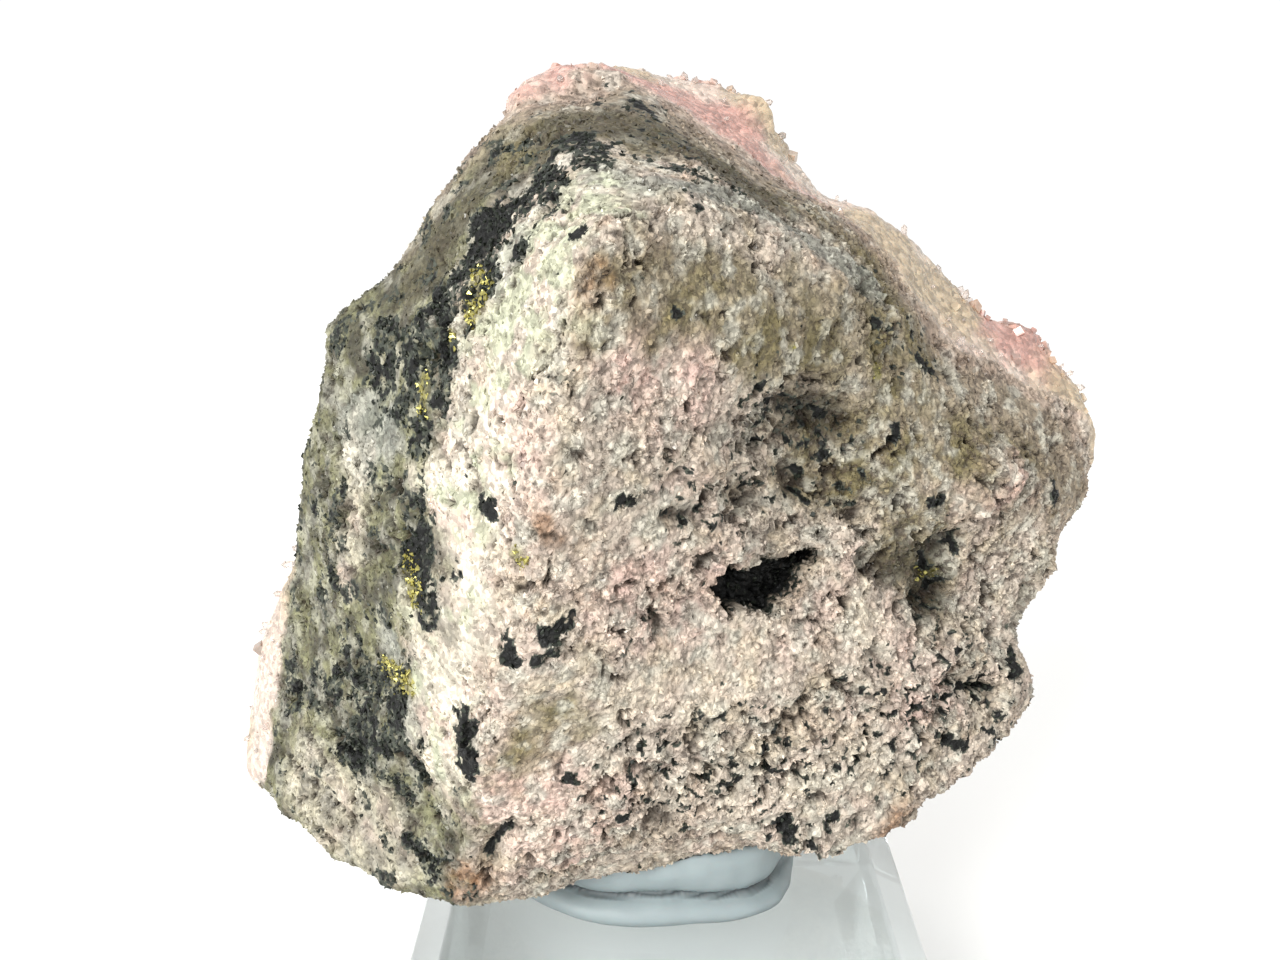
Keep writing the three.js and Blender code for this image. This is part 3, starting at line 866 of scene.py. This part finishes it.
def scatter_tree():
    """The tree that sets chosen shapes on a surface, with its sizes as named inputs."""
    tree = bpy.data.node_groups.new("mineral_scatter", "GeometryNodeTree")
    tree.is_modifier = True
    faces = tree.interface
    faces.new_socket("Geometry", in_out="OUTPUT", socket_type="NodeSocketGeometry")
    faces.new_socket("Geometry", in_out="INPUT", socket_type="NodeSocketGeometry")
    for name, kind in (
        ("Shapes", "NodeSocketCollection"),
        ("Where", "NodeSocketString"),
        ("Per Square Metre", "NodeSocketFloat"),
        ("Smallest", "NodeSocketFloat"),
        ("Largest", "NodeSocketFloat"),
        ("Tilt", "NodeSocketFloat"),
        ("Tone Spread", "NodeSocketFloat"),
        ("Seed", "NodeSocketInt"),
        ("Material", "NodeSocketMaterial"),
    ):
        faces.new_socket(name, in_out="INPUT", socket_type=kind)
    given = add(tree, "NodeGroupInput").outputs
    here = add(tree, "GeometryNodeInputNamedAttribute", {"Name": given["Where"]}, data_type="FLOAT")
    density = calc(tree, "MULTIPLY", here.outputs[0], given["Per Square Metre"])
    points = add(
        tree,
        "GeometryNodeDistributePointsOnFaces",
        {"Mesh": given["Geometry"], "Density": density, "Seed": given["Seed"]},
    )
    shapes = add(
        tree,
        "GeometryNodeCollectionInfo",
        {"Collection": given["Shapes"], "Separate Children": True, "Reset Children": True},
    )
    back = calc(tree, "MULTIPLY", given["Tilt"], -1.0)
    low = add(tree, "ShaderNodeCombineXYZ", {0: back, 1: back, 2: -math.pi})
    high = add(tree, "ShaderNodeCombineXYZ", {0: given["Tilt"], 1: given["Tilt"], 2: math.pi})
    turn = add(
        tree,
        "FunctionNodeRandomValue",
        {0: low.outputs[0], 1: high.outputs[0], "Seed": given["Seed"]},
        data_type="FLOAT_VECTOR",
    )
    turned = add(
        tree,
        "FunctionNodeRotateRotation",
        {"Rotation": points.outputs["Rotation"], "Rotate By": turn.outputs[0]},
        rotation_space="LOCAL",
    )
    chance = add(tree, "FunctionNodeRandomValue", {2: 0.0, 3: 1.0, "Seed": 7}, data_type="FLOAT")
    few_large = calc(tree, "POWER", chance.outputs[1], 2.2)
    size = add(
        tree,
        "ShaderNodeMapRange",
        {"Value": few_large, "To Min": given["Smallest"], "To Max": given["Largest"]},
    )
    placed = add(
        tree,
        "GeometryNodeInstanceOnPoints",
        {
            "Points": points.outputs["Points"],
            "Instance": shapes.outputs[0],
            "Pick Instance": True,
            "Rotation": turned.outputs[0],
            "Scale": size.outputs[0],
        },
    )
    dim = calc(tree, "MULTIPLY", given["Tone Spread"], -1.0)
    own_tone = add(
        tree,
        "FunctionNodeRandomValue",
        {2: dim, 3: given["Tone Spread"], "Seed": 13},
        data_type="FLOAT",
    )
    toned = add(
        tree,
        "GeometryNodeStoreNamedAttribute",
        {"Geometry": placed.outputs[0], "Name": "tone", "Value": own_tone.outputs[1]},
        data_type="FLOAT",
        domain="INSTANCE",
    )
    real = add(tree, "GeometryNodeRealizeInstances", {"Geometry": toned.outputs[0]})
    coat = {"Geometry": real.outputs[0], "Material": given["Material"]}
    coated = add(tree, "GeometryNodeSetMaterial", coat)
    add(tree, "NodeGroupOutput", {"Geometry": coated.outputs[0]})
    return tree


mineral_scatter = scatter_tree()


def scatter(name, shapes, material, where, density, sizes, tilt, tone_spread, seed):
    """Runs the scatter tree over the stone and makes its result a piece of its own. `density` is
    shapes to a square metre where the attribute is 1, and `sizes` are the ends of a range in mm."""
    kit = bpy.data.collections.new(name + "_shapes")
    for shape in shapes:
        kit.objects.link(shape)
    worker = bpy.data.objects.new("worker", stone_mesh.copy())
    bpy.context.collection.objects.link(worker)
    modifier = worker.modifiers.new("scatter", "NODES")
    modifier.node_group = mineral_scatter
    named = {
        "Shapes": kit,
        "Where": where,
        "Per Square Metre": density,
        "Smallest": sizes[0] * MM,
        "Largest": sizes[1] * MM,
        "Tilt": tilt,
        "Tone Spread": tone_spread,
        "Seed": seed,
        "Material": material,
    }
    for item in mineral_scatter.interface.items_tree:
        if item.in_out == "INPUT" and item.name in named:
            modifier[item.identifier] = named[item.name]
    worker.update_tag()
    evaluated = worker.evaluated_get(bpy.context.evaluated_depsgraph_get())
    mesh = bpy.data.meshes.new_from_object(evaluated)
    mesh.name = name
    bpy.data.objects.remove(worker)
    for shape in shapes:
        bpy.data.objects.remove(shape)
    bpy.data.collections.remove(kit)
    return new_piece(name, mesh, material, "stone")


grain_rock = rock_material(
    "rhodochrosite_grain",
    grain=0.5,
    roughness=0.7,
    gloss=0.45,
    **{"IOR": 1.6, "Specular IOR Level": 0.35},
)
for number, (seed, spread) in enumerate(((3, 0.3), (4, 0.34))):
    scatter(
        f"carbonate_grains_{number + 1}",
        [hull_shape(f"chip_{seed}_{i}", 10 * seed + i, 7) for i in range(6)],
        grain_rock,
        where="grain_here",
        density=3.4e6,
        sizes=(0.18, 0.55),
        tilt=math.pi,
        tone_spread=spread,
        seed=seed,
    )

SULFIDE_DARK = "#22261F"
PYRITE_BRASS = "#A9A262"
sulfide_ore, tree, output = new_material("galena_and_sphalerite")
tone = add(tree, "ShaderNodeAttribute", attribute_name="tone").outputs["Fac"]
bright = calc(tree, "ADD", tone, 1.0)
steel = add(tree, "ShaderNodeHueSaturation", {"Color": linear(SULFIDE_DARK), "Value": bright}).outputs[0]
dull_metal = {"Base Color": steel, "Roughness": 0.4, "Metallic": 0.1, "Specular IOR Level": 0.25}
finish_material(tree, output, dull_metal)
scatter(
    "sulfide_grains",
    [hull_shape(f"sulfide_chip_{i}", 70 + i, 8) for i in range(5)],
    sulfide_ore,
    where="sulfide_here",
    density=7e6,
    sizes=(0.2, 0.55),
    tilt=math.pi,
    tone_spread=0.6,
    seed=5,
)

pyrite_metal, tree, output = new_material("pyrite")
finish_material(tree, output, {"Base Color": linear(PYRITE_BRASS), "Roughness": 0.36, "Metallic": 1.0})
scatter(
    "pyrite_grains",
    [hull_shape(f"pyrite_chip_{i}", 90 + i, 7) for i in range(3)],
    pyrite_metal,
    where="pyrite_here",
    density=2.2e7,
    sizes=(0.17, 0.5),
    tilt=math.pi,
    tone_spread=0.2,
    seed=6,
)


# ---------------------------------------------------------------------------------------------------
# Crust. The display face: pink rhodochrosite in small rhombs, over-grown by a druse of quartz points.
# Both are grown on the stone by the same tree, standing nearly upright on the surface.
# ---------------------------------------------------------------------------------------------------
def rhomb_shape(name, tall):
    """A rhombohedron on its corner, its foot sunk below its origin, about one unit wide."""
    shape = bmesh.new()
    low_ring = [
        shape.verts.new((0.5 * math.cos(a), 0.5 * math.sin(a), -0.17 * tall))
        for a in (0.0, math.tau / 3, 2 * math.tau / 3)
    ]
    high_ring = [
        shape.verts.new((0.5 * math.cos(a), 0.5 * math.sin(a), 0.17 * tall))
        for a in (math.tau / 6, math.tau / 2, 5 * math.tau / 6)
    ]
    foot, tip = shape.verts.new((0, 0, -0.5 * tall)), shape.verts.new((0, 0, 0.5 * tall))
    for i in range(3):
        shape.faces.new((tip, high_ring[i - 1], low_ring[i], high_ring[i]))
        shape.faces.new((foot, low_ring[i], high_ring[i], low_ring[(i + 1) % 3]))
    bmesh.ops.recalc_face_normals(shape, faces=shape.faces)
    return finished_shape(name, shape)


def point_shape(name, tall):
    """A quartz point: a six-sided prism one unit wide, its foot sunk, with a six-faced tip at `tall`."""
    shape = bmesh.new()
    turns = [math.tau * i / 6 for i in range(6)]
    low_ring = [shape.verts.new((0.5 * math.cos(a), 0.5 * math.sin(a), -0.3)) for a in turns]
    high_ring = [shape.verts.new((0.5 * math.cos(a), 0.5 * math.sin(a), tall - 0.55)) for a in turns]
    tip = shape.verts.new((0, 0, tall))
    shape.faces.new(reversed(low_ring))
    for i in range(6):
        j = (i + 1) % 6
        shape.faces.new((low_ring[i], low_ring[j], high_ring[j], high_ring[i]))
        shape.faces.new((high_ring[i], high_ring[j], tip))
    return finished_shape(name, shape)


pink_crystal = rock_material(
    "rhodochrosite_crystal",
    grain=1.2,
    roughness=0.4,
    gloss=0.25,
    dark=False,
    IOR=1.7,
    **WAXY_DEPTH,
)
scatter(
    "rhodochrosite_rhombs",
    [rhomb_shape(f"rhomb_{i}", tall) for i, tall in enumerate((1.0, 1.2, 0.85))],
    pink_crystal,
    where="rhomb_here",
    density=3.4e6,
    sizes=(0.35, 1.2),
    tilt=0.6,
    tone_spread=0.14,
    seed=8,
)

druse, tree, output = new_material("quartz_druse")
glassy = {"Base Color": linear("#F3E9E2"), "Roughness": 0.12, "IOR": 1.54, "Transmission Weight": 0.75}
finish_material(tree, output, glassy)
scatter(
    "quartz_points",
    [point_shape(f"point_{i}", tall) for i, tall in enumerate((1.2, 1.5, 1.0))],
    druse,
    where="quartz_here",
    density=1.6e6,
    sizes=(0.25, 0.7),
    tilt=0.45,
    tone_spread=0.1,
    seed=9,
)


# ---------------------------------------------------------------------------------------------------
# Tack pad. Blue-grey mineral tack, kneaded, folded once and pressed flat under the stone's foot.
# It is a lathe-like skin: a lower and an upper lobe with the fold's crease between them, thumbed out of
# round, with its top pushed up against the stone's underside.
# ---------------------------------------------------------------------------------------------------
PAD_ROUND_STEPS = 480
PAD_RINGS = 56
PAD_CREASE_DEPTH = 1.7
PAD_PRESSED_IN = 0.25
PAD_RIM_GAP = 0.12

pad_low, pad_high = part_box("tack_pad")
pad_centre = (pad_low + pad_high) / 2
pad_half = (pad_high - pad_low) / 2
stone_tree = BVHTree.FromPolygons(
    [v.co for v in stone_mesh.vertices], [p.vertices[:] for p in stone_mesh.polygons]
)


def lobe(share):
    """A round lobe's bulge, 0 at both its edges and 1 in its middle."""
    return math.sqrt(max(0.0, 1 - (2 * share - 1) ** 2))


def pad_point(turn, up):
    """A place on the pad's skin: `turn` round from +X, and `up` from 0 at its foot's centre, through 1
    and 2 at the rim's foot and shoulder, to 3 at its top's centre."""
    facing = -math.sin(turn)
    front = smooth(np.array(facing + 0.3)).item()
    crease = 0.4 + 0.03 * math.sin(2 * turn + 1.5) + 0.02 * math.sin(7 * turn)
    crease -= 0.15 * math.exp(-(1 - math.cos(turn - 5.75)) / 0.12)
    height = (pad_high.z - pad_low.z) / MM + 0.8
    rise = min(max(up - 1, 0.0), 1.0)
    share = up if up < 1 else min(1.0, 3 - up)
    if rise < crease:
        folded = PAD_CREASE_DEPTH * 1.15 * lobe(rise / crease)
    else:
        folded = PAD_CREASE_DEPTH * 0.8 * lobe((rise - crease) / (1 - crease))
    plain = 1.3 * lobe(0.08 + 0.84 * rise)
    bulge = front * folded + (1 - front) * plain - PAD_CREASE_DEPTH
    near_crease = front * math.exp(-(((rise - crease) / 0.045) ** 2))
    bulge -= 0.9 * smooth(np.array((math.cos(turn) - 0.7) / 0.3)).item()
    bulge += 0.05 * near_crease * math.sin(150 * turn + 3 * math.sin(23 * turn))
    where = Vector((2 * math.cos(turn), 2 * math.sin(turn), 1.4 * rise))
    bulge += (0.5 * noise.noise(0.8 * where) + 0.12 * noise.noise(3.1 * where)) * min(share * 2, 1)
    dimple = math.exp(-((12 * (turn - math.tau * 0.745)) ** 2 + (9 * (rise - 0.82)) ** 2))
    bulge -= 0.3 * dimple
    x = (pad_half.x / MM + bulge) * math.cos(turn)
    y = (pad_half.y / MM + bulge) * math.sin(turn)
    foot = Vector((pad_centre.x, pad_centre.y, pad_low.z))
    return Vector((x * share, y * share, height * rise)) * MM + foot, near_crease


shape = bmesh.new()
crease_dirt = shape.verts.layers.float.new("crease_dirt")
rings = []
for k in range(1, PAD_RINGS):
    up = 0.75 + 1.75 * k / PAD_RINGS
    pressed = PAD_PRESSED_IN if up > 2.2 else -PAD_RIM_GAP
    ring = []
    for i in range(PAD_ROUND_STEPS):
        spot, near_crease = pad_point(math.tau * i / PAD_ROUND_STEPS, up)
        above = stone_tree.ray_cast(Vector((spot.x, spot.y, pad_low.z)), Vector((0, 0, 1)))[0]
        # Painted shade: the crease, and the pad's top where it nears the stone's underside, are darkened in
        # the colour.
        painted_shade = near_crease
        if above is not None:
            gap = max(above.z - spot.z, 0) / MM
            painted_shade = max(painted_shade, 1 - gap / 0.4)
            spot.z = min(spot.z, above.z + pressed * MM)
        spot.z = max(spot.z, pad_low.z + 0.02 * MM)
        vertex = shape.verts.new(spot)
        vertex[crease_dirt] = painted_shade
        ring.append(vertex)
    rings.append(ring)
for lower, upper in zip(rings, rings[1:]):
    for i in range(PAD_ROUND_STEPS):
        j = (i + 1) % PAD_ROUND_STEPS
        shape.faces.new((lower[i], lower[j], upper[j], upper[i]))
shape.faces.new(reversed(rings[0]))
shape.faces.new(rings[-1])
for face in shape.faces:
    face.smooth = True
pad_mesh = bpy.data.meshes.new("tack_pad")
shape.to_mesh(pad_mesh)
shape.free()

tack, tree, output = new_material("mineral_tack")
place = add(tree, "ShaderNodeTexCoord").outputs["Object"]
smears = add(tree, "ShaderNodeTexNoise", {"Vector": place, "Scale": 1 / (3.0 * MM), "Detail": 5})
tinted = add(
    tree,
    "ShaderNodeMix",
    {"Factor": smears.outputs["Fac"], 6: linear("#849092"), 7: linear("#98A3A4")},
    data_type="RGBA",
)
# Painted shade along the crease and under the stone, laid as a dark blue-grey.
painted_shade = add(tree, "ShaderNodeAttribute", attribute_name="crease_dirt").outputs["Fac"]
crease_shaded = blend(tree, remap(tree, painted_shade, 0.6, 0.95, 0.0, 0.9), tinted.outputs[2], linear("#2B3234"))
fine = add(tree, "ShaderNodeTexNoise", {"Vector": place, "Scale": 1 / (0.35 * MM), "Detail": 3})
skin = add(
    tree, "ShaderNodeBump", {"Height": fine.outputs["Fac"], "Strength": 0.25, "Distance": 0.05 * MM}
)
putty = {
    "Base Color": crease_shaded,
    "Roughness": 0.5,
    "Normal": skin.outputs[0],
    "Subsurface Weight": 0.1,
    "Subsurface Scale": 0.6 * MM,
}
finish_material(tree, output, putty)
new_piece("tack_skin", pad_mesh, tack, "tack_pad")


# ---------------------------------------------------------------------------------------------------
# Studio. A flat white table, a large soft lamp high on the left, white surroundings,
# and the camera a hand's breadth away, a little above the stone's middle.
# ---------------------------------------------------------------------------------------------------
FLOOR_SIZE = 3.0
FLOOR_GAP = 0.1 * MM
EYE_PLACE = (-2.1, -84.8, 73.4)
EYE_LOOKS_DOWN = 17
EYE_SENSOR = 36
EYE_LENS = 35.16
floor_mesh = bpy.data.meshes.new("floor")
half = FLOOR_SIZE / 2
drop = -FLOOR_GAP
floor_mesh.from_pydata(
    [(-half, -half, drop), (half, -half, drop), (half, half, drop), (-half, half, drop)], [], [(0, 1, 2, 3)]
)
white, tree, output = new_material("white_table")
finish_material(tree, output, {"Base Color": linear("#FCFCFA"), "Roughness": 0.8})
floor_mesh.materials.append(white)
floor = bpy.data.objects.new("floor", floor_mesh)
bpy.context.collection.objects.link(floor)

world = bpy.data.worlds.new("white_room")
world.use_nodes = True
world.node_tree.nodes["Background"].inputs["Color"].default_value = (1, 1, 1, 1)
world.node_tree.nodes["Background"].inputs["Strength"].default_value = 1.05
bpy.context.scene.world = world
bpy.context.scene.view_settings.view_transform = "Standard"


def soft_lamp(name, place, size, watts):
    """A square soft lamp at a place in millimetres, turned towards the stone."""
    data = bpy.data.lights.new(name, "AREA")
    data.size, data.energy = size * MM, watts
    lamp = bpy.data.objects.new(name, data)
    bpy.context.collection.objects.link(lamp)
    lamp.location = Vector(place) * MM
    aim = Vector((0, 0, 45)) * MM - lamp.location
    lamp.rotation_mode = "QUATERNION"
    lamp.rotation_quaternion = aim.to_track_quat("-Z", "Y")
    return lamp


soft_lamp("window", (-230, -330, 260), 220, 2.4)

eye = bpy.data.objects.new("eye", bpy.data.cameras.new("eye"))
bpy.context.collection.objects.link(eye)
eye.location = Vector(EYE_PLACE) * MM
eye.rotation_euler = (math.radians(90 - EYE_LOOKS_DOWN), 0, 0)
eye.data.sensor_width = EYE_SENSOR
eye.data.lens = EYE_LENS
eye.data.clip_start = 5 * MM
bpy.context.scene.camera = eye
